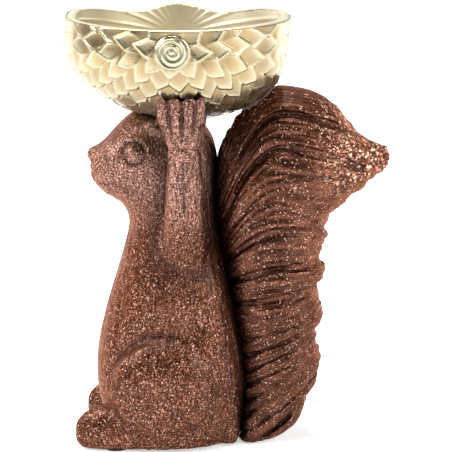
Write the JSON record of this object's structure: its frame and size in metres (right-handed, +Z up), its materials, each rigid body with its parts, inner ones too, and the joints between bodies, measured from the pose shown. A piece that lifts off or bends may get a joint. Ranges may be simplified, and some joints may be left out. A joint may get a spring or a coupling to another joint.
{
  "type": "squirrel figurine",
  "caption": "Sitting squirrel figurine that raises both arms to hold a round scaled bowl on its head and paws, with a curled bushy tail behind, for nuts or trinkets.",
  "frame": {"origin": "on the table, under the middle of the figurine's outline", "axes": "+Z up, the squirrel faces -X, its tail is at +X, and its left side with the bowl's scroll faces -Y"},
  "size_m": [0.1706, 0.1162, 0.2293],
  "materials": {
    "copper_glitter": "cast resin coated all over in copper-brown glitter under clear lacquer",
    "champagne_gold": "cast resin in satin champagne-gold metallic paint with brown wash in the grooves",
    "pin_steel": "plain steel dowel, hidden",
    "felt": "dark self-adhesive felt"
  },
  "bodies": {
    "root": {"body_casting": "copper_glitter", "tail_casting": "copper_glitter", "left_arm": "copper_glitter", "right_arm": "copper_glitter", "bowl": "champagne_gold", "tail_pins": "pin_steel", "arm_pins": "pin_steel", "bowl_pin": "pin_steel", "felt_pads": "felt"}
  },
  "joints": []
}
